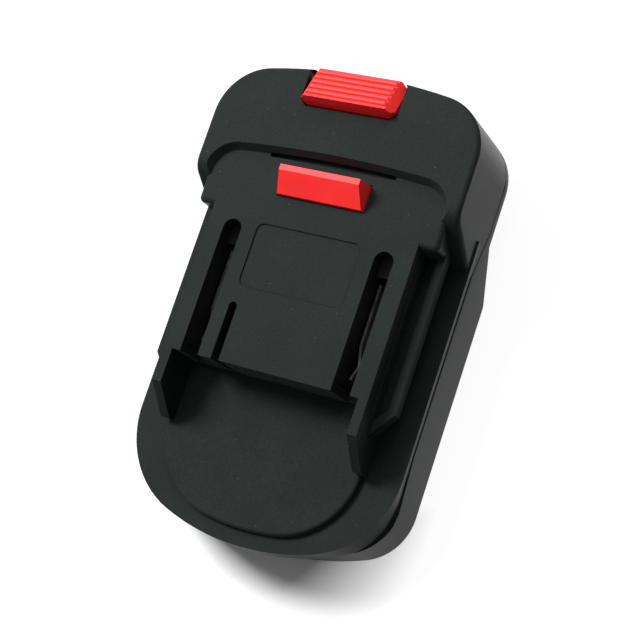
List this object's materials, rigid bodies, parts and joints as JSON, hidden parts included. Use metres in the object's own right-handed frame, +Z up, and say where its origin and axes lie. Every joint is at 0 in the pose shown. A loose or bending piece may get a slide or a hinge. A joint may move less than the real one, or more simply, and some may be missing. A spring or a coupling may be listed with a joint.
{
  "type": "tool battery adapter",
  "caption": "Slide-on adapter plate: tool rails and terminal slots on a raised block above, a battery socket with blades below, and a sprung thumb-button latch.",
  "frame": {"origin": "middle of the footprint on the plane of the skirts' feet, which is the lowest plane", "axes": "+X across the part, +Y from the rounded tail to the head with the button, +Z up through the plateau"},
  "size_m": [0.0724, 0.1152, 0.0364],
  "materials": {
    "housing_plastic": "fine spark texture, dark grey-black",
    "red_plastic": "satin, bright red",
    "inner_plastic": "smooth black",
    "contact_metal": "tin-plated copper alloy, slightly dull",
    "spring_steel": "drawn wire",
    "board_laminate": "green solder resist over glass laminate",
    "component_case": "moulded epoxy",
    "capacitor_can": "satin can",
    "fuse_body": "ceramic, off-white",
    "lead_red": "silicone insulation",
    "lead_black": "silicone insulation",
    "lead_yellow": "silicone insulation",
    "screw_steel": "black oxide"
  },
  "bodies": {
    "housing": {"top_cover": "housing_plastic", "lower_housing": "housing_plastic", "latch_spring_left": "spring_steel", "latch_spring_right": "spring_steel", "contact_holder": "inner_plastic", "negative_clip": "contact_metal", "positive_clip": "contact_metal", "signal_clip": "contact_metal", "circuit_board": "board_laminate", "power_transistors": "component_case", "smoothing_capacitor": "capacitor_can", "line_fuse": "fuse_body", "terminal_block": "inner_plastic", "negative_blade": "contact_metal", "positive_blade": "contact_metal", "signal_blade": "contact_metal", "negative_lead": "lead_black", "positive_lead": "lead_red", "signal_lead": "lead_yellow", "housing_screws": "screw_steel", "board_screws": "screw_steel"},
    "latch": {"release_latch": "red_plastic"}
  },
  "joints": [
    {"name": "latch_press", "type": "slide", "parent": "housing", "child": "latch", "axis": [0, 0, -1], "range_m": [0, 0.0052], "stiffness_N_per_m": 1200, "deforming": ["latch_spring_left", "latch_spring_right"]}
  ]
}
